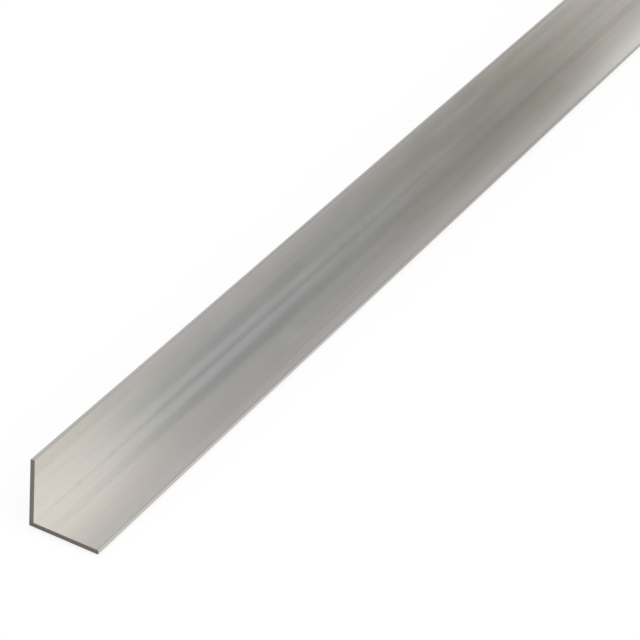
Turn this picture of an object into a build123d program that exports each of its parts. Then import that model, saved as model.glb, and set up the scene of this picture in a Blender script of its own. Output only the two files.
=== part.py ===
"""Equal-leg aluminium angle, extruded in one piece and sawn to length.

Lengths are in millimetres. The bar runs along Y and rests on its flat leg, with the upright leg
on the -X side. +Z is up. The origin is on the floor, in the middle of the bar's footprint.
"""

import os

from build123d import *

# Section, measured over the outside of the legs.
flat_leg_width = 25.0
upright_leg_height = 25.0
wall_thickness = 1.5

# Corners left by the extrusion die.
root_radius = 0.2  # inside, where the two legs meet
heel_radius = 0.3  # outside, behind the root
toe_radius = 0.3  # both corners of each leg's free edge

# Stock length, and the small flat that deburring leaves round each sawn end.
bar_length = 1000.0
end_break = 0.1

# The section's heel stands at the local origin of this plane: local X runs along the flat leg
# and local Y up the upright leg.
section_plane = Plane(
    origin=(-flat_leg_width / 2, 0, 0), x_dir=(1, 0, 0), z_dir=(0, -1, 0)
)


def corners_near(sketch, *points):
    """The section's corners that lie at the given local points."""
    return [sketch.vertices().sort_by_distance(point)[0] for point in points]


heel = (0, 0)
root = (wall_thickness, wall_thickness)
flat_toe = [(flat_leg_width, 0), (flat_leg_width, wall_thickness)]
upright_toe = [(0, upright_leg_height), (wall_thickness, upright_leg_height)]

with BuildPart() as angle_section:
    # The outline goes round the section from the heel, with every corner still sharp.
    with BuildSketch(section_plane) as section:
        with BuildLine():
            Polyline(heel, *flat_toe, root, *reversed(upright_toe), close=True)
        make_face()
        fillet(corners_near(section, heel), radius=heel_radius)
        fillet(corners_near(section, root), radius=root_radius)
        fillet(corners_near(section, *flat_toe, *upright_toe), radius=toe_radius)
    extrude(amount=bar_length / 2, both=True)

    # The saw leaves two flat ends square to the bar, with their edges broken all round.
    sawn_ends = angle_section.faces().filter_by(Axis.Y)
    chamfer(sawn_ends.edges(), length=end_break)

angle_section.part.label = "angle_section"

os.makedirs("parts", exist_ok=True)
export_step(angle_section.part, "parts/angle_section.step")
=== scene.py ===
"""Mill-finish aluminium angle: drawn faces, sawn ends with saw marks, and a plain studio.

The bar runs along Y on its flat leg, with the upright leg on the -X side. Blender's units are
metres. Where a shader works in millimetres, its values say so.
"""

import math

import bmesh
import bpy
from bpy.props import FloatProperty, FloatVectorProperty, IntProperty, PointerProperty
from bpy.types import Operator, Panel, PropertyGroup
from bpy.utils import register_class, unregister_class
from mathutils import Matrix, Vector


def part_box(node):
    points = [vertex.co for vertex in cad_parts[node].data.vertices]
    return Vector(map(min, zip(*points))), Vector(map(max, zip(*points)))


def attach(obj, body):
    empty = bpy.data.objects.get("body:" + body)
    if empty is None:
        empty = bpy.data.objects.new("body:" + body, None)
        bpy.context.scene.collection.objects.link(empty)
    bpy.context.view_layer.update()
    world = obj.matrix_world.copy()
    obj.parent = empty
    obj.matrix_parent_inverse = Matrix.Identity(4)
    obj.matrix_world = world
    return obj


bl_info = {
    "name": "Aluminium Angle Dresser",
    "version": (1, 0, 0),
    "blender": (4, 5, 0),
    "location": "3D View > Sidebar > Angle",
    "description": "Finishes an extruded aluminium angle and sets it in a plain studio",
    "category": "Object",
}

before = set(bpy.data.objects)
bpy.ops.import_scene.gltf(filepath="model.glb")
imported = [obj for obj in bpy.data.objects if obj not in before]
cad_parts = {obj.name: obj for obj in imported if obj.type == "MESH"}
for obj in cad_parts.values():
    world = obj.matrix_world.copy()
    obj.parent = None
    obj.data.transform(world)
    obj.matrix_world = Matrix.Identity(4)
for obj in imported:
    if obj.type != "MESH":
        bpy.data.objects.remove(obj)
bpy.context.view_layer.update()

BAR_NODE = "angle_section"
BODY = "root"

# The bar's outside, read from its mesh, and its wall, which the box doesn't give.
BAR_LOW, BAR_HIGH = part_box(BAR_NODE)
LEG = BAR_HIGH.z - BAR_LOW.z
WALL = 0.0015
NEAR_END = BAR_LOW.y
FAR_END = BAR_HIGH.y

# The line where the two inner faces meet.
ROOT_X = BAR_LOW.x + WALL
ROOT_Z = BAR_LOW.z + WALL

MM = 0.001
PER_MM = 1000.0


# ---------------------------------------------------------------------------- settings


class MillFinishSettings(PropertyGroup):
    """The drawn faces of the bar."""

    colour: FloatVectorProperty(
        name="Colour",
        description="Reflection colour of the bare metal",
        subtype="COLOR",
        size=3,
        min=0.0,
        max=1.0,
        default=(0.64, 0.62, 0.59),
    )
    roughness: FloatProperty(
        name="Roughness",
        description="Roughness of the drawn faces, between that along the grain and across it",
        subtype="FACTOR",
        min=0.0,
        max=1.0,
        default=0.234,
    )
    grain: FloatProperty(
        name="Grain",
        description="How much rougher the faces are across the die lines than along them",
        subtype="FACTOR",
        min=0.0,
        max=1.0,
        default=0.78,
    )
    die_line_pitch: FloatProperty(
        name="Die Line Pitch",
        description="Mean distance between the fine lines that the die leaves",
        subtype="DISTANCE",
        unit="LENGTH",
        min=0.00005,
        default=0.00035,
    )
    die_line_depth: FloatProperty(
        name="Die Line Depth",
        description="Depth of the die lines",
        subtype="DISTANCE",
        unit="LENGTH",
        min=0.0,
        default=0.000002,
    )
    root_swell: FloatProperty(
        name="Root Swell",
        description="How far the faces rise above flat towards the root",
        subtype="DISTANCE",
        unit="LENGTH",
        min=0.0,
        default=0.00005,
    )


class SawnEndSettings(PropertyGroup):
    """The two sawn ends."""

    # The sawn colours are far darker than bare sawn aluminium: painted shade, for ends turned away
    # from the light.
    colour: FloatVectorProperty(
        name="Colour",
        description="Reflection colour of the sawn metal",
        subtype="COLOR",
        size=3,
        min=0.0,
        max=1.0,
        default=(0.24, 0.21, 0.20),
    )
    roughness: FloatProperty(
        name="Roughness",
        description="Roughness of the sawn metal",
        subtype="FACTOR",
        min=0.0,
        max=1.0,
        default=0.55,
    )
    # Darker than bare sawn metal too: painted shade.
    mark_colour: FloatVectorProperty(
        name="Mark Colour",
        description="Reflection colour of the ridges between the saw's scores",
        subtype="COLOR",
        size=3,
        min=0.0,
        max=1.0,
        default=(0.29, 0.255, 0.245),
    )
    mark_pitch: FloatProperty(
        name="Mark Pitch",
        description="Distance from one saw mark to the next",
        subtype="DISTANCE",
        unit="LENGTH",
        min=0.0001,
        default=0.0005,
    )
    mark_radius: FloatProperty(
        name="Mark Radius",
        description="Radius of the thin ridge that each tooth leaves, sunk to half its depth",
        subtype="DISTANCE",
        unit="LENGTH",
        min=0.0,
        default=0.00002,
    )
    blade_radius: FloatProperty(
        name="Blade Radius",
        description="Radius of the saw blade, which sets how the marks curve",
        subtype="DISTANCE",
        unit="LENGTH",
        min=0.05,
        default=0.125,
    )
    feed: FloatProperty(
        name="Feed",
        description="Direction in which the blade went through, from +X towards +Z",
        subtype="ANGLE",
        unit="ROTATION",
        default=math.radians(-110),
    )
    score_pitch: FloatProperty(
        name="Score Pitch",
        description="Mean distance between the fine scores that run beside the saw marks",
        subtype="DISTANCE",
        unit="LENGTH",
        min=0.00001,
        default=0.00012,
    )
    score_depth: FloatProperty(
        name="Score Depth",
        description="Depth of the fine scores",
        subtype="DISTANCE",
        unit="LENGTH",
        min=0.0,
        default=0.000008,
    )
    seed: IntProperty(
        name="Seed",
        description="Picks the ridges that are deeper or shallower",
        min=0,
        default=4,
    )


class StudioSettings(PropertyGroup):
    """Floor, light tent and camera."""

    lens: FloatProperty(
        name="Lens",
        description="Focal length of the camera, on a 36 mm sensor",
        subtype="DISTANCE_CAMERA",
        unit="CAMERA",
        default=154.96,
    )
    azimuth: FloatProperty(
        name="Azimuth",
        description="Where the camera stands round the bar, from -Y towards +X",
        subtype="ANGLE",
        unit="ROTATION",
        default=math.radians(26.565),
    )
    elevation: FloatProperty(
        name="Elevation",
        description="How far the camera looks down",
        subtype="ANGLE",
        unit="ROTATION",
        default=math.radians(33.594),
    )
    roll: FloatProperty(
        name="Roll",
        description="Turn of the camera about its own line of sight",
        subtype="ANGLE",
        unit="ROTATION",
        default=math.radians(5.189),
    )
    camera_place: FloatVectorProperty(
        name="Camera Place",
        description="Where the camera stands",
        subtype="TRANSLATION",
        unit="LENGTH",
        size=3,
        default=(0.35546, -1.05170, 0.52119),
    )
    floor_size: FloatProperty(
        name="Floor Size",
        description="Width of the square floor",
        subtype="DISTANCE",
        unit="LENGTH",
        default=40.0,
    )
    tent_radius: FloatProperty(
        name="Tent Radius",
        description="Radius of the half-round light tent over the bar",
        subtype="DISTANCE",
        unit="LENGTH",
        default=0.4,
    )


# ---------------------------------------------------------------------------- node helpers


def new_node(tree, kind, inputs=None, **settings):
    """A new node, with its settings made and its inputs either set or linked."""
    node = tree.nodes.new(kind)
    for name, value in settings.items():
        setattr(node, name, value)
    for key, value in (inputs or {}).items():
        if isinstance(value, bpy.types.NodeSocket):
            tree.links.new(value, node.inputs[key])
        else:
            node.inputs[key].default_value = value
    return node


def math_node(tree, operation, *values, clamp=False):
    """The output of a Math node that works on numbers or sockets."""
    node = new_node(tree, "ShaderNodeMath", dict(enumerate(values)), operation=operation)
    node.use_clamp = clamp
    return node.outputs[0]


def vector_of(tree, x, y, z):
    """A vector joined from three numbers or sockets."""
    return new_node(tree, "ShaderNodeCombineXYZ", {0: x, 1: y, 2: z}).outputs[0]


def spread(tree, value, low, high, to_low=0.0, to_high=1.0, smooth=False):
    """A value carried from one range to another, and held at its ends."""
    kind = "SMOOTHSTEP" if smooth else "LINEAR"
    inputs = {0: value, 1: low, 2: high, 3: to_low, 4: to_high}
    return new_node(tree, "ShaderNodeMapRange", inputs, interpolation_type=kind).outputs[0]


def mix_numbers(tree, factor, first, second):
    """One number faded into another."""
    inputs = {0: factor, 2: first, 3: second}
    return new_node(tree, "ShaderNodeMix", inputs, data_type="FLOAT").outputs[0]


def mix_colours(tree, factor, first, second, blend="MIX"):
    """One colour faded into another, or blended with it."""
    inputs = {0: factor, 6: first, 7: second}
    return new_node(
        tree, "ShaderNodeMix", inputs, data_type="RGBA", blend_type=blend
    ).outputs[2]


def scaled(tree, vector, factor):
    """A vector made longer or shorter."""
    return new_node(
        tree, "ShaderNodeVectorMath", {0: vector, "Scale": factor}, operation="SCALE"
    ).outputs[0]


def object_place(tree):
    """Where a point lies on its object, as three numbers."""
    place = new_node(tree, "ShaderNodeTexCoord").outputs["Object"]
    return new_node(tree, "ShaderNodeSeparateXYZ", {0: place}).outputs


def noise_on(tree, vector, scale=1.0, detail=2.0):
    """Noise from 0 to 1, with a mean of one half."""
    inputs = {"Vector": vector, "Scale": scale, "Detail": detail}
    return new_node(tree, "ShaderNodeTexNoise", inputs).outputs["Fac"]


def new_material(name):
    """An empty node material and its output node."""
    material = bpy.data.materials.new(name)
    material.use_nodes = True
    material.node_tree.nodes.clear()
    output = material.node_tree.nodes.new("ShaderNodeOutputMaterial")
    return material, material.node_tree, output


def opaque(colour):
    """A colour with full alpha."""
    return (*colour, 1.0)


def shaded(tree, colour, shade):
    """A colour made lighter or darker by a shade, which is 1 where the colour stays."""
    grey = vector_of(tree, shade, shade, shade)
    return mix_colours(tree, 1.0, opaque(colour), grey, "MULTIPLY")


# ---------------------------------------------------------------------------- metal

# Lighter and darker bands and lines along the bar. They are partly what drawing, handling and
# dirt leave, and partly painted light and shade: painted shade over the highlights of the root's
# and the free edges' roundings and over the floor that the free edges mirror, and painted light
# and shade across the faces where the light falls unevenly. Each row has its middle and half
# width across the section, in mm, then the share that it adds to the shade near the near end, a
# little way along, and further off.
WEAR_AND_SHADE_BANDS = (
    (-24.4, 0.5, 0.06, 0.07, -0.02),  # top edge of the upright leg
    # Painted shade over the highlight of the rounding at the upright leg's inner corner.
    (-23.5, 0.35, -0.38, -0.25, -0.27),  # its inner corner
    (-20.0, 3.0, -0.10, 0.00, -0.08),
    (-13.0, 3.0, -0.01, 0.00, -0.02),
    (-8.5, 3.0, 0.05, -0.04, -0.03),
    (-4.6, 1.0, 0.06, 0.03, 0.00),
    (-2.0, 1.6, 0.11, 0.03, 0.00),
    (-0.8, 0.7, 0.12, -0.03, -0.09),
    # Painted shade over the highlight of the root's rounding.
    (0.15, 0.25, -0.23, -0.23, -0.17),  # the root itself
    (0.8, 0.6, -0.07, -0.08, 0.06),
    (2.3, 1.8, -0.07, 0.05, 0.02),
    (6.5, 1.8, -0.08, -0.12, -0.07),
    (12.5, 3.0, -0.03, 0.02, 0.01),
    (18.0, 3.0, -0.01, -0.02, 0.02),
    (21.5, 1.5, 0.01, 0.07, 0.07),
    # The next three rows are painted shade: over the highlight of the rounding at the flat leg's
    # inner corner, and over the floor that its free edge and lower corner mirror.
    (23.4, 0.35, -0.32, -0.08, -0.05),  # inner corner of the flat leg's free edge
    (24.2, 0.7, -0.13, -0.17, -0.42),  # the free edge
    (24.9, 0.35, -0.40, -0.15, -0.30),  # its lower corner
)

# The first share holds up to the first of these distances from the near end, in mm, the second
# at the second, and the last from the third on.
BAND_PLACES = (25.0, 95.0, 270.0)

# Bands with a faint tint of their own, in rows of the same kind: the share added to the red, and
# the share added to the blue.
RED_BANDS = (
    (-24.5, 0.8, -0.02, -0.05, -0.04),  # the top edge is a plainer grey
    (-18.5, 5.0, 0.01, 0.05, 0.01),
    (-0.3, 0.7, 0.000, 0.005, 0.005),
    (14.5, 3.0, 0.02, 0.01, 0.00),
)
BLUE_BANDS = (
    (-20.0, 3.0, -0.03, 0.00, 0.00),
    (0.0, 1.0, -0.005, -0.012, -0.005),
    (10.0, 4.5, 0.00, -0.03, -0.01),
    (24.2, 0.9, -0.02, -0.02, -0.01),
)

# How far the clouds take the red from its mean.
TINT_CLOUD = 0.008

# Small marks on the faces: place across the section and along the bar, half width and half
# length, all in mm, and the share that each adds to the shade.
FACE_MARKS = (
    (13.0, 134.0, 3.0, 6.0, 0.05),  # rubbed patch on the flat leg
    (-0.6, 207.0, 0.5, 0.8, 0.2),  # bright nick beside the root
    (0.5, 13.0, 0.3, 0.8, -0.06),  # swarf in the root
    (0.6, 24.5, 0.3, 1.3, -0.09),
    (0.5, 43.5, 0.3, 1.4, -0.07),
)

# Most of a noise lies between these two values. A cloudy or torn one has more detail.
NOISE_LOW, NOISE_HIGH = 0.25, 0.75
RICH_DETAIL = 3.0

# Length of the finest streaks along the bar, then the distance apart and the length of the broad
# ones and of the clouds, in mm.
FINE_REACH = 60.0
BROAD_STREAKS = (2.2, 240.0)
CLOUDS = (9.0, 35.0)

# How far the streaks go from the mean shade: by the first share up to the first of these
# distances from the near end, in mm, and by the second share from the second on.
STREAK_PLACES = (20.0, 150.0)
STREAK_SHARES = (0.01, 0.035)

# How far the clouds take the roughness from its mean.
CLOUD_ROUGHNESS = 0.02

# The root's swell falls to about a third this far from it, in mm.
SWELL_REACH = 4.0

# The outside faces, up to this depth in mm, keep clear of the bands and marks, and have streaks
# of one strength all along.
OUTSIDE_SKIN = 0.04
OUTSIDE_STREAKS = 0.05

# The broken edge round a sawn end is as dull as the end itself, to this depth in mm. The foot of
# an end is darker, a painted shade near the floor, and the two heights between which that fades
# out are in mm.
SAWN_DEPTH = 0.2
FOOT_SHADOW_HEIGHTS = (1.5, 4.0)
FOOT_SHADOW_LEVEL = 0.86

# Length of the fine scores of the blade, in metres, and how far they go from the mean shade and
# roughness.
SCORE_REACH = 0.004
SCORE_SHARE = 0.16
SCORE_ROUGHNESS = 0.08

# Speckles of the ridges that the saw leaves: how many to a mm, the part of the noise that
# counts, and the shade and roughness that it spans.
SPECKLES = 4.0
SPECKLE_NOISE = (0.3, 0.7)
SPECKLE_SHADE = (0.8, 1.15)
SPECKLE_ROUGHNESS = (0.45, 0.6)


def face_place(tree):
    """Where a point lies, in mm: across the unrolled section from the root, and along the bar.

    The first is positive on the flat leg and negative on the upright one. The second starts at
    the near end.
    """
    x, y, z = object_place(tree)
    root = ROOT_X - ROOT_Z
    across = math_node(tree, "SUBTRACT", math_node(tree, "SUBTRACT", x, z), root)
    along = math_node(tree, "SUBTRACT", y, NEAR_END)
    return (
        math_node(tree, "MULTIPLY", across, PER_MM),
        math_node(tree, "MULTIPLY", along, PER_MM),
    )


def off_the_outside(tree):
    """0 on the underside and the upright leg's back, and 1 elsewhere."""
    x, _, z = object_place(tree)
    over = math_node(tree, "SUBTRACT", x, BAR_LOW.x)
    up = math_node(tree, "SUBTRACT", z, BAR_LOW.z)
    skin = math_node(tree, "MINIMUM", over, up)
    return math_node(tree, "GREATER_THAN", skin, OUTSIDE_SKIN * MM)


def on_sawn_end(tree, along):
    """1 on either sawn end and its broken edge, and 0 elsewhere."""
    length = (FAR_END - NEAR_END) * PER_MM
    from_middle = math_node(tree, "ABSOLUTE", math_node(tree, "SUBTRACT", along, length / 2))
    return math_node(tree, "GREATER_THAN", from_middle, length / 2 - SAWN_DEPTH)


def grain_noise(tree, across, along, pitch, reach, detail=2.0):
    """Noise drawn out one way: its marks are a pitch apart and a reach long."""
    vector = vector_of(
        tree,
        math_node(tree, "DIVIDE", across, pitch),
        math_node(tree, "DIVIDE", along, reach),
        0.0,
    )
    return noise_on(tree, vector, detail=detail)


def noisy(tree, noise, mean, share):
    """A mean value that a noise takes up and down by a share."""
    return spread(tree, noise, NOISE_LOW, NOISE_HIGH, mean - share, mean + share)


def hump(tree, value, middle, half_width):
    """1 at the middle, falling to 0 one and a half half widths away."""
    away = math_node(tree, "ABSOLUTE", math_node(tree, "SUBTRACT", value, middle))
    return spread(tree, away, half_width * 0.5, half_width * 1.5, 1.0, 0.0, smooth=True)


def face_bands(tree, across, along, bands):
    """Sum of the shares that a set of bands adds."""
    near, middle, far = BAND_PLACES
    first_stretch = spread(tree, along, near, middle, smooth=True)
    second_stretch = spread(tree, along, middle, far, smooth=True)
    total = 0.0
    for place, half_width, *shares in bands:
        share = spread(tree, first_stretch, 0.0, 1.0, shares[0], shares[1])
        later = spread(tree, second_stretch, 0.0, 1.0, 0.0, shares[2] - shares[1])
        share = math_node(tree, "ADD", share, later)
        here = math_node(tree, "MULTIPLY", hump(tree, across, place, half_width), share)
        total = math_node(tree, "ADD", here, total)
    return total


def face_marks(tree, across, along):
    """Sum of the shares that the small marks add to the shade."""
    total = 0.0
    for place, distance, half_width, half_length, share in FACE_MARKS:
        here = math_node(
            tree,
            "MULTIPLY",
            hump(tree, across, place, half_width),
            hump(tree, along, distance, half_length),
        )
        total = math_node(tree, "ADD", math_node(tree, "MULTIPLY", here, share), total)
    return total


def saw_scores(tree, settings):
    """Noise from 0 to 1 in arcs across a sawn end, along the edge of the blade as it went through.

    Each point is placed by how far the blade had gone when it cut there, and by how far to the
    side of the blade's middle it lies.
    """
    x, _, z = object_place(tree)
    over = math_node(tree, "SUBTRACT", x, BAR_LOW.x + LEG / 2)
    up = math_node(tree, "SUBTRACT", z, BAR_LOW.z + LEG / 2)
    cosine, sine = math.cos(settings.feed), math.sin(settings.feed)
    ahead = math_node(tree, "MULTIPLY_ADD", up, sine, math_node(tree, "MULTIPLY", over, cosine))
    aside = math_node(tree, "MULTIPLY_ADD", up, cosine, math_node(tree, "MULTIPLY", over, -sine))
    aside_squared = math_node(tree, "MULTIPLY", aside, aside)
    bow = math_node(tree, "SUBTRACT", settings.blade_radius**2, aside_squared)
    travel = math_node(tree, "SUBTRACT", ahead, math_node(tree, "SQRT", bow))
    return grain_noise(tree, travel, aside, settings.score_pitch, SCORE_REACH, RICH_DETAIL)


def sawn_colour_and_shade(tree, settings, scores):
    """Colour of a sawn end, dark with painted shade, scored by the blade, and darker still at its
    foot with painted shade near the floor.
    """
    height = object_place(tree)[2]
    low, high = (BAR_LOW.z + part * MM for part in FOOT_SHADOW_HEIGHTS)
    foot = spread(tree, height, low, high, FOOT_SHADOW_LEVEL, 1.0, smooth=True)
    torn = noisy(tree, scores, 1.0, SCORE_SHARE)
    return shaded(tree, settings.colour, math_node(tree, "MULTIPLY", foot, torn))


def drawn_shade(tree, across, along, marked, noises):
    """Shade of the drawn faces: streaks all over, and where they are marked, marks and bands that
    are partly painted light and shade.
    """
    marks = face_bands(tree, across, along, WEAR_AND_SHADE_BANDS)
    marks = math_node(tree, "ADD", marks, face_marks(tree, across, along))
    shade = math_node(tree, "MULTIPLY_ADD", marks, marked, 1.0)
    streaks = spread(tree, along, *STREAK_PLACES, *STREAK_SHARES)
    streaks = mix_numbers(tree, marked, OUTSIDE_STREAKS, streaks)
    for noise in noises:
        streak = noisy(tree, noise, 0.0, 1.0)
        shade = math_node(tree, "ADD", shade, math_node(tree, "MULTIPLY", streak, streaks))
    return shade


def drawn_tint(tree, across, along, marked, cloud, shade):
    """A shade as a colour, with a faint tint in its red and blue."""
    red = math_node(tree, "MULTIPLY", face_bands(tree, across, along, RED_BANDS), marked)
    red = math_node(tree, "ADD", red, noisy(tree, cloud, 0.0, TINT_CLOUD))
    blue = math_node(tree, "MULTIPLY", face_bands(tree, across, along, BLUE_BANDS), marked)
    return vector_of(
        tree,
        math_node(tree, "MULTIPLY", shade, math_node(tree, "ADD", red, 1.0)),
        shade,
        math_node(tree, "MULTIPLY", shade, math_node(tree, "ADD", blue, 1.0)),
    )


def drawn_height(tree, settings, across, fine):
    """Relief of the drawn faces, in metres: die lines, and the swell beside the root."""
    fall = math_node(tree, "MULTIPLY", math_node(tree, "ABSOLUTE", across), -1 / SWELL_REACH)
    swell = math_node(tree, "MULTIPLY", math_node(tree, "EXPONENT", fall), settings.root_swell)
    lines = math_node(tree, "MULTIPLY", fine, settings.die_line_depth)
    return math_node(tree, "ADD", lines, swell)


def mill_finish(settings, ends):
    """Bare extruded aluminium: long grain, with painted light and shade in bands, and rougher sawn
    ends made darker with painted shade.
    """
    material, tree, output = new_material("mill_finish")
    across, along = face_place(tree)
    sawn = on_sawn_end(tree, along)
    fine = grain_noise(tree, across, along, settings.die_line_pitch * PER_MM, FINE_REACH)
    broad = grain_noise(tree, across, along, *BROAD_STREAKS)
    cloud = grain_noise(tree, across, along, *CLOUDS, RICH_DETAIL)

    marked = off_the_outside(tree)
    shade = drawn_shade(tree, across, along, marked, (fine, broad, cloud))
    tint = drawn_tint(tree, across, along, marked, cloud, shade)
    drawn = mix_colours(tree, 1.0, opaque(settings.colour), tint, "MULTIPLY")
    scores = saw_scores(tree, ends)
    colour = mix_colours(tree, sawn, drawn, sawn_colour_and_shade(tree, ends, scores))

    drawn_rough = noisy(tree, cloud, settings.roughness, CLOUD_ROUGHNESS)
    torn_rough = noisy(tree, scores, ends.roughness, SCORE_ROUGHNESS)
    roughness = mix_numbers(tree, sawn, drawn_rough, torn_rough)

    torn_height = math_node(tree, "MULTIPLY", scores, ends.score_depth)
    height = mix_numbers(tree, sawn, drawn_height(tree, settings, across, fine), torn_height)
    # With both at 1, the height is in metres.
    bump = new_node(tree, "ShaderNodeBump", {"Strength": 1.0, "Distance": 1.0, "Height": height})
    across_bar = new_node(tree, "ShaderNodeTangent", direction_type="RADIAL", axis="Y")
    shader = new_node(
        tree,
        "ShaderNodeBsdfPrincipled",
        {
            "Base Color": colour,
            "Metallic": 1.0,
            "Roughness": roughness,
            "Anisotropic": settings.grain,
            "Normal": bump.outputs[0],
            "Tangent": across_bar.outputs[0],
        },
    )
    tree.links.new(shader.outputs[0], output.inputs["Surface"])
    return material


def sawn_metal(settings):
    """Torn, speckled metal of the ridges that the saw leaves, made dark with painted shade like
    the ends.
    """
    material, tree, output = new_material("sawn_metal")
    place = new_node(tree, "ShaderNodeTexCoord").outputs["Object"]
    speckle = noise_on(tree, place, scale=SPECKLES * PER_MM, detail=RICH_DETAIL)
    shade = spread(tree, speckle, *SPECKLE_NOISE, *SPECKLE_SHADE)
    shader = new_node(
        tree,
        "ShaderNodeBsdfPrincipled",
        {
            "Base Color": shaded(tree, settings.mark_colour, shade),
            "Metallic": 1.0,
            "Roughness": spread(tree, speckle, *SPECKLE_NOISE, *SPECKLE_ROUGHNESS),
        },
    )
    tree.links.new(shader.outputs[0], output.inputs["Surface"])
    return material


# ---------------------------------------------------------------------------- saw marks

# Marks keep this far inside the end's outline, clear of its broken edge.
MARK_MARGIN = 0.00018

# How many stretches and sides a ridge has, and how thick the thinnest is beside the thickest.
MARK_STEPS = 4
MARK_SIDES = 4
MARK_THINNEST = 0.4

# Before they are cut, the arcs reach this many legs to each side of the end's middle, and each
# has this many points.
ARC_REACH = 0.75
ARC_STEPS = 400

SAW_INPUTS = {
    # name: socket type, value
    "Leg": ("NodeSocketFloat", LEG),
    "Wall": ("NodeSocketFloat", WALL),
    "Heel X": ("NodeSocketFloat", BAR_LOW.x),
    "Heel Z": ("NodeSocketFloat", BAR_LOW.z),
    "End Y": ("NodeSocketFloat", NEAR_END),
    "Margin": ("NodeSocketFloat", MARK_MARGIN),
    "Pitch": ("NodeSocketFloat", 0.0005),
    "Mark Radius": ("NodeSocketFloat", 0.00002),
    "Blade Radius": ("NodeSocketFloat", 0.125),
    "Feed": ("NodeSocketFloat", 0.0),
    "Seed": ("NodeSocketInt", 0),
}

SAW_MARKS = {"saw_marks_near": NEAR_END, "saw_marks_far": FAR_END}


def blade_arcs(tree, size):
    """One long arc for each pitch of the feed, over the whole section and past it."""
    reach = math_node(tree, "MULTIPLY", size["Leg"], ARC_REACH)
    half_sweep = math_node(tree, "DIVIDE", reach, size["Blade Radius"])
    arc = new_node(
        tree,
        "GeometryNodeCurveArc",
        {
            "Resolution": ARC_STEPS,
            "Radius": size["Blade Radius"],
            "Start Angle": math_node(tree, "SUBTRACT", size["Feed"], half_sweep),
            "Sweep Angle": math_node(tree, "MULTIPLY", half_sweep, 2.0),
        },
    )
    cosine = math_node(tree, "COSINE", size["Feed"])
    sine = math_node(tree, "SINE", size["Feed"])
    ahead = vector_of(tree, cosine, sine, 0.0)
    first = math_node(tree, "ADD", size["Blade Radius"], reach)
    first = math_node(tree, "MULTIPLY", first, -1.0)
    width = math_node(tree, "MULTIPLY", reach, 2.0)
    places = new_node(
        tree,
        "GeometryNodeMeshLine",
        {
            "Count": math_node(tree, "DIVIDE", width, size["Pitch"]),
            "Start Location": scaled(tree, ahead, first),
            "Offset": scaled(tree, ahead, size["Pitch"]),
        },
    )
    arcs = new_node(
        tree,
        "GeometryNodeInstanceOnPoints",
        {"Points": places.outputs[0], "Instance": arc.outputs[0]},
    )
    return new_node(tree, "GeometryNodeRealizeInstances", {0: arcs.outputs[0]}).outputs[0]


def off_the_section(tree, size):
    """True where a point isn't on the L of the section, less its margin."""
    place = new_node(tree, "GeometryNodeInputPosition").outputs[0]
    x, _, z = new_node(tree, "ShaderNodeSeparateXYZ", {0: place}).outputs
    over = math_node(tree, "SUBTRACT", x, size["Heel X"])
    up = math_node(tree, "SUBTRACT", z, size["Heel Z"])
    low = math_node(tree, "MINIMUM", over, up)
    high = math_node(tree, "MAXIMUM", over, up)
    toe = math_node(tree, "SUBTRACT", size["Leg"], size["Margin"])
    inside = math_node(tree, "SUBTRACT", size["Wall"], size["Margin"])
    before = math_node(tree, "LESS_THAN", low, size["Margin"])
    past_toe = math_node(tree, "GREATER_THAN", high, toe)
    past_wall = math_node(tree, "GREATER_THAN", low, inside)
    return math_node(tree, "MAXIMUM", before, math_node(tree, "MAXIMUM", past_toe, past_wall))


def saw_mark_tree(material):
    """The ridges of one sawn end: blade arcs, cut to the section and given a body."""
    tree = bpy.data.node_groups.new("saw_marks", "GeometryNodeTree")
    for name, (kind, value) in SAW_INPUTS.items():
        socket = tree.interface.new_socket(name, in_out="INPUT", socket_type=kind)
        socket.default_value = value
    tree.interface.new_socket("Geometry", in_out="OUTPUT", socket_type="NodeSocketGeometry")
    size = tree.nodes.new("NodeGroupInput").outputs

    half_leg = math_node(tree, "MULTIPLY", size["Leg"], 0.5)
    middle = vector_of(
        tree,
        math_node(tree, "ADD", size["Heel X"], half_leg),
        size["End Y"],
        math_node(tree, "ADD", size["Heel Z"], half_leg),
    )
    standing = new_node(
        tree,
        "GeometryNodeTransform",
        {
            "Geometry": blade_arcs(tree, size),
            "Translation": middle,
            "Rotation": (math.pi / 2, 0, 0),
        },
    )
    wires = new_node(tree, "GeometryNodeCurveToMesh", {"Curve": standing.outputs[0]})
    cut = new_node(
        tree,
        "GeometryNodeDeleteGeometry",
        {"Geometry": wires.outputs[0], "Selection": off_the_section(tree, size)},
        domain="POINT",
    )
    strokes = new_node(tree, "GeometryNodeMeshToCurve", {"Mesh": cut.outputs[0]})
    even = new_node(
        tree, "GeometryNodeResampleCurve", {"Curve": strokes.outputs[0], "Count": MARK_STEPS + 1}
    )
    thickness = new_node(
        tree,
        "FunctionNodeRandomValue",
        {2: MARK_THINNEST, 3: 1.0, "Seed": size["Seed"]},
        data_type="FLOAT",
    )
    section = new_node(
        tree,
        "GeometryNodeCurvePrimitiveCircle",
        {"Resolution": MARK_SIDES, "Radius": size["Mark Radius"]},
    )
    ridges = new_node(
        tree,
        "GeometryNodeCurveToMesh",
        {
            "Curve": even.outputs[0],
            "Profile Curve": section.outputs[0],
            "Scale": thickness.outputs[1],
            "Fill Caps": True,
        },
    )
    whole = new_node(tree, "GeometryNodeRealizeInstances", {0: ridges.outputs[0]})
    done = new_node(
        tree, "GeometryNodeSetMaterial", {"Geometry": whole.outputs[0], "Material": material}
    )
    new_node(tree, "NodeGroupOutput", {0: done.outputs[0]})
    return tree


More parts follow.
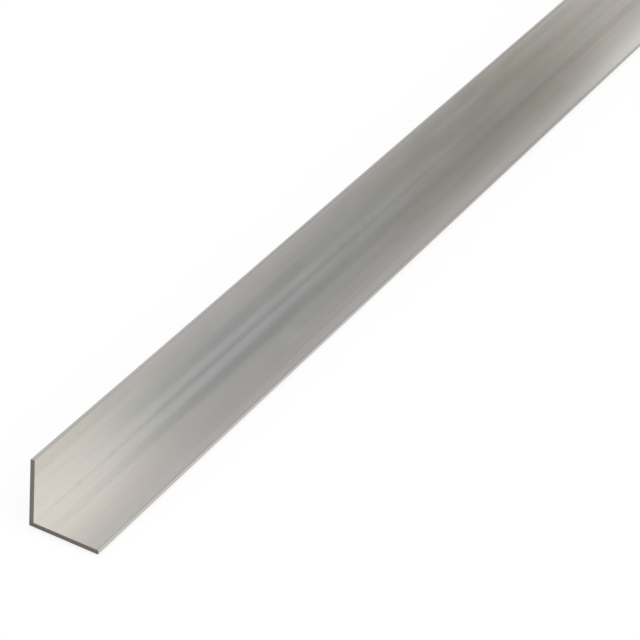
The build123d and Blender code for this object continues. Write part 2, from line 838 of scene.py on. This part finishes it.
def add_saw_marks(name, tree, values):
    """One end's ridges, baked to a plain mesh."""
    made = bpy.data.objects.new(name, bpy.data.meshes.new(name + "_start"))
    bpy.context.scene.collection.objects.link(made)
    maker = made.modifiers.new("saw_marks", "NODES")
    maker.node_group = tree
    for item in tree.interface.items_tree:
        if item.in_out == "INPUT" and item.name in values:
            maker[item.identifier] = values[item.name]
    evaluated = made.evaluated_get(bpy.context.evaluated_depsgraph_get())
    mesh = bpy.data.meshes.new_from_object(evaluated)
    mesh.name = name
    made.modifiers.remove(maker)
    made.data = mesh
    if not mesh.polygons:
        raise RuntimeError(name + " has no ridges")
    faces_outwards(mesh)
    return made


def faces_outwards(mesh):
    """Turns every face of a closed mesh outwards."""
    work = bmesh.new()
    work.from_mesh(mesh)
    bmesh.ops.recalc_face_normals(work, faces=work.faces)
    work.to_mesh(mesh)
    work.free()


# ---------------------------------------------------------------------------- studio materials

# The tent is a row of half-round fins: their pitch along the bar and depth outwards in metres,
# how many are missing over each end of the bar, and how many sides each has.
FIN_PITCH = 0.02
FIN_DEPTH = 0.03
FIN_MISSING = 2
FIN_SIDES = 48

# Light from the fins' fronts, by bearing over the bar: from the floor on the open side (0), over
# straight up (90), to the floor behind the upright leg (180). Their backs carry the same light,
# with its distances counted from the far end. Each ring has its own tint on the open side, and
# past straight up they share one.
BACK_TINT = (1.05, 1.0, 1.0)
OVERHEAD = 90
TENT_BEARINGS = (0, 60, OVERHEAD, 180)
TENT_RINGS = {
    # distance past the near end, m: light at each bearing, tint on the open side
    0.38: ((1.6, 1.8, 1.0, 0.1), (1.0, 1.0, 1.0)),
    0.47: ((1.0, 0.8, 0.2, 1.3), (0.9, 1.0, 1.1)),
    0.90: ((1.0, 0.5, 0.1, 1.6), (1.0, 1.0, 0.95)),
}

# A ring's levels are brought below 1 for its colour ramp, with this much room for a tint.
RAMP_ROOM = 1.1

WHITE = (1.0, 1.0, 1.0, 1.0)

# The floor's grey, and the glow that it has besides where it is seen or mirrored.
FLOOR_GREY = 0.35
FLOOR_GLOW = 0.7

# Light of the world on all that doesn't mirror it.
WORLD_LIGHT = 0.9

# The floor lies this far under the bar, in mm.
FLOOR_DROP = 0.1

# The width of the camera's sensor, in mm, and the distances between which it sees, in metres.
SENSOR_WIDTH = 36.0
VIEW_RANGE = (0.01, 100.0)


def seen_directly(tree):
    """1 for camera, glossy and transmission rays, and 0 for the rest."""
    path = new_node(tree, "ShaderNodeLightPath")
    mirrored = math_node(
        tree, "MAXIMUM", path.outputs["Is Glossy Ray"], path.outputs["Is Transmission Ray"]
    )
    return math_node(tree, "MAXIMUM", path.outputs["Is Camera Ray"], mirrored)


def floor_paint():
    """White floor that keeps a faint shadow of the bar."""
    material, tree, output = new_material("floor_paint")
    paper = new_node(tree, "ShaderNodeBsdfDiffuse", {"Color": opaque((FLOOR_GREY,) * 3)})
    glow = new_node(tree, "ShaderNodeEmission", {"Color": WHITE, "Strength": FLOOR_GLOW})
    both = new_node(tree, "ShaderNodeAddShader", {0: paper.outputs[0], 1: glow.outputs[0]})
    choice = new_node(
        tree,
        "ShaderNodeMixShader",
        {0: seen_directly(tree), 1: paper.outputs[0], 2: both.outputs[0]},
    )
    tree.links.new(choice.outputs[0], output.inputs["Surface"])
    return material


def ring_light(tree, turn, light, open_tint):
    """The light of one ring of the tent, as a colour, where turn runs from 0 to 1."""
    brightest = RAMP_ROOM * max(light)
    ramp = tree.nodes.new("ShaderNodeValToRGB")
    stops = ramp.color_ramp.elements
    while len(stops) < len(light):
        stops.new(0.5)
    for stop, bearing, level in zip(stops, TENT_BEARINGS, light):
        stop.position = bearing / TENT_BEARINGS[-1]
        tint = open_tint if bearing <= OVERHEAD else BACK_TINT
        stop.color = (*(level / brightest * part for part in tint), 1.0)
    tree.links.new(turn, ramp.inputs[0])
    return scaled(tree, ramp.outputs[0], brightest)


def tent_cloth():
    """Glowing cloth, brightest over the open side of the end that it faces."""
    material, tree, output = new_material("tent_cloth")
    x, y, z = object_place(tree)
    back = new_node(tree, "ShaderNodeNewGeometry").outputs["Backfacing"]
    away = mix_numbers(
        tree,
        back,
        math_node(tree, "SUBTRACT", y, NEAR_END),
        math_node(tree, "SUBTRACT", FAR_END, y),
    )
    bearing = math_node(tree, "ARCTAN2", z, math_node(tree, "SUBTRACT", x, ROOT_X))
    turn = math_node(tree, "DIVIDE", bearing, math.pi, clamp=True)
    (last, lights), *later_rings = TENT_RINGS.items()
    glow = ring_light(tree, turn, *lights)
    for ring, lights in later_rings:
        fade = spread(tree, away, last, ring, smooth=True)
        glow = mix_colours(tree, fade, glow, ring_light(tree, turn, *lights))
        last = ring
    light = new_node(tree, "ShaderNodeEmission", {"Color": glow, "Strength": 1.0})
    tree.links.new(light.outputs[0], output.inputs["Surface"])
    return material


# ---------------------------------------------------------------------------- stage


def new_object(name, corners, faces, material):
    """An object made from corners and faces, with one material."""
    mesh = bpy.data.meshes.new(name)
    mesh.from_pydata(corners, [], faces)
    mesh.materials.append(material)
    made = bpy.data.objects.new(name, mesh)
    bpy.context.scene.collection.objects.link(made)
    return made


def add_floor(size):
    """A large square floor just under the bar."""
    half, height = size / 2, -FLOOR_DROP * MM
    sides = ((-1, -1), (1, -1), (1, 1), (-1, 1))
    corners = [(x * half, y * half, height) for x, y in sides]
    floor = new_object("floor", corners, [(0, 1, 2, 3)], floor_paint())
    return floor


def add_tent(radius):
    """Half-round fins over the bar, one after another, which show only in the metal.

    They face the bar's ends, so a face that looks straight up or sideways sees white between
    them, and one seen along the bar mirrors their glow.
    """
    inner, outer = radius - FIN_DEPTH / 2, radius + FIN_DEPTH / 2
    corners, faces = [], []
    for fin in range(round((FAR_END - NEAR_END) / FIN_PITCH) - 2 * FIN_MISSING):
        y = NEAR_END + (fin + FIN_MISSING + 0.5) * FIN_PITCH
        for step in range(FIN_SIDES + 1):
            turn = math.pi * step / FIN_SIDES
            for reach in (inner, outer):
                corners.append((ROOT_X + reach * math.cos(turn), y, reach * math.sin(turn)))
        start = fin * 2 * (FIN_SIDES + 1)
        for step in range(FIN_SIDES):
            first = start + 2 * step
            faces.append((first, first + 1, first + 3, first + 2))
    tent = new_object("light_tent", corners, faces, tent_cloth())
    tent.visible_camera = False
    tent.visible_diffuse = False
    tent.visible_transmission = False
    tent.visible_volume_scatter = False
    tent.visible_shadow = False
    return tent


def light_world(scene):
    """Even light from all round, white where it is seen or mirrored."""
    world = bpy.data.worlds.new("studio")
    scene.world = world
    world.use_nodes = True
    tree = world.node_tree
    tree.nodes.clear()
    fill = new_node(tree, "ShaderNodeBackground", {"Color": WHITE, "Strength": WORLD_LIGHT})
    white = new_node(tree, "ShaderNodeBackground", {"Color": WHITE, "Strength": 1.0})
    choice = new_node(
        tree,
        "ShaderNodeMixShader",
        {0: seen_directly(tree), 1: fill.outputs[0], 2: white.outputs[0]},
    )
    new_node(tree, "ShaderNodeOutputWorld", {"Surface": choice.outputs[0]})


def add_camera(scene, settings):
    """The camera, looking down along the bar from its near end."""
    azimuth, elevation, roll = settings.azimuth, settings.elevation, settings.roll
    back = Vector(
        (
            math.sin(azimuth) * math.cos(elevation),
            -math.cos(azimuth) * math.cos(elevation),
            math.sin(elevation),
        )
    )
    level = Vector((math.cos(azimuth), math.sin(azimuth), 0.0))
    upright = back.cross(level)
    right = level * math.cos(roll) + upright * math.sin(roll)
    up = back.cross(right)
    data = bpy.data.cameras.new("camera")
    data.lens = settings.lens
    data.sensor_width = SENSOR_WIDTH
    data.clip_start, data.clip_end = VIEW_RANGE
    camera = bpy.data.objects.new("camera", data)
    turn = Matrix((right, up, back)).transposed().to_4x4()
    camera.matrix_world = Matrix.Translation(Vector(settings.camera_place)) @ turn
    scene.collection.objects.link(camera)
    scene.camera = camera
    return camera


# ---------------------------------------------------------------------------- operators


class OBJECT_OT_angle_mill_finish(Operator):
    """Give the bar its mill finish and its sawn ends"""

    bl_idname = "object.angle_mill_finish"
    bl_label = "Finish Bar"

    def execute(self, context):
        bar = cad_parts[BAR_NODE]
        material = mill_finish(context.scene.mill_finish, context.scene.sawn_ends)
        bar.material_slots[0].material = material
        return {"FINISHED"}


class OBJECT_OT_angle_saw_marks(Operator):
    """Leave the saw's marks on both ends of the bar"""

    bl_idname = "object.angle_saw_marks"
    bl_label = "Mark Sawn Ends"

    def execute(self, context):
        settings = context.scene.sawn_ends
        tree = saw_mark_tree(sawn_metal(settings))
        for turn, (name, end) in enumerate(SAW_MARKS.items()):
            values = {
                "End Y": end,
                "Pitch": settings.mark_pitch,
                "Mark Radius": settings.mark_radius,
                "Blade Radius": settings.blade_radius,
                "Feed": settings.feed,
                "Seed": settings.seed + turn,
            }
            marks = add_saw_marks(name, tree, values)
            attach(marks, BODY)
        return {"FINISHED"}


class SCENE_OT_angle_studio(Operator):
    """Set the bar on a white floor, in a light tent, in front of the camera"""

    bl_idname = "scene.angle_studio"
    bl_label = "Set Studio"

    def execute(self, context):
        settings = context.scene.angle_studio
        add_floor(settings.floor_size)
        add_tent(settings.tent_radius)
        light_world(context.scene)
        add_camera(context.scene, settings)
        context.scene.view_settings.view_transform = "Standard"
        return {"FINISHED"}


# ---------------------------------------------------------------------------- add-on


class VIEW3D_PT_angle(Panel):
    """Sizes, colours and steps of the angle"""

    bl_idname = "VIEW3D_PT_angle"
    bl_label = "Aluminium Angle"
    bl_space_type = "VIEW_3D"
    bl_region_type = "UI"
    bl_category = "Angle"

    def draw(self, context):
        for operator in OPERATORS:
            self.layout.operator(operator.bl_idname)
        for name, group in SETTINGS.items():
            box = self.layout.box()
            box.label(text=group.__doc__.strip("."))
            for value in group.__annotations__:
                box.prop(getattr(context.scene, name), value)


SETTINGS = {
    "mill_finish": MillFinishSettings,
    "sawn_ends": SawnEndSettings,
    "angle_studio": StudioSettings,
}
OPERATORS = (OBJECT_OT_angle_mill_finish, OBJECT_OT_angle_saw_marks, SCENE_OT_angle_studio)


def register():
    """Adds the classes, and the settings to the scene."""
    for group in (*SETTINGS.values(), *OPERATORS, VIEW3D_PT_angle):
        register_class(group)
    for name, group in SETTINGS.items():
        setattr(bpy.types.Scene, name, PointerProperty(type=group))


def unregister():
    """Takes out what register added."""
    for name in SETTINGS:
        delattr(bpy.types.Scene, name)
    for group in reversed((*SETTINGS.values(), *OPERATORS, VIEW3D_PT_angle)):
        unregister_class(group)


def main():
    """Dresses the bar and sets the studio."""
    register()
    bpy.ops.object.angle_mill_finish()
    bpy.ops.object.angle_saw_marks()
    bpy.ops.scene.angle_studio()


if __name__ == "__main__":
    main()
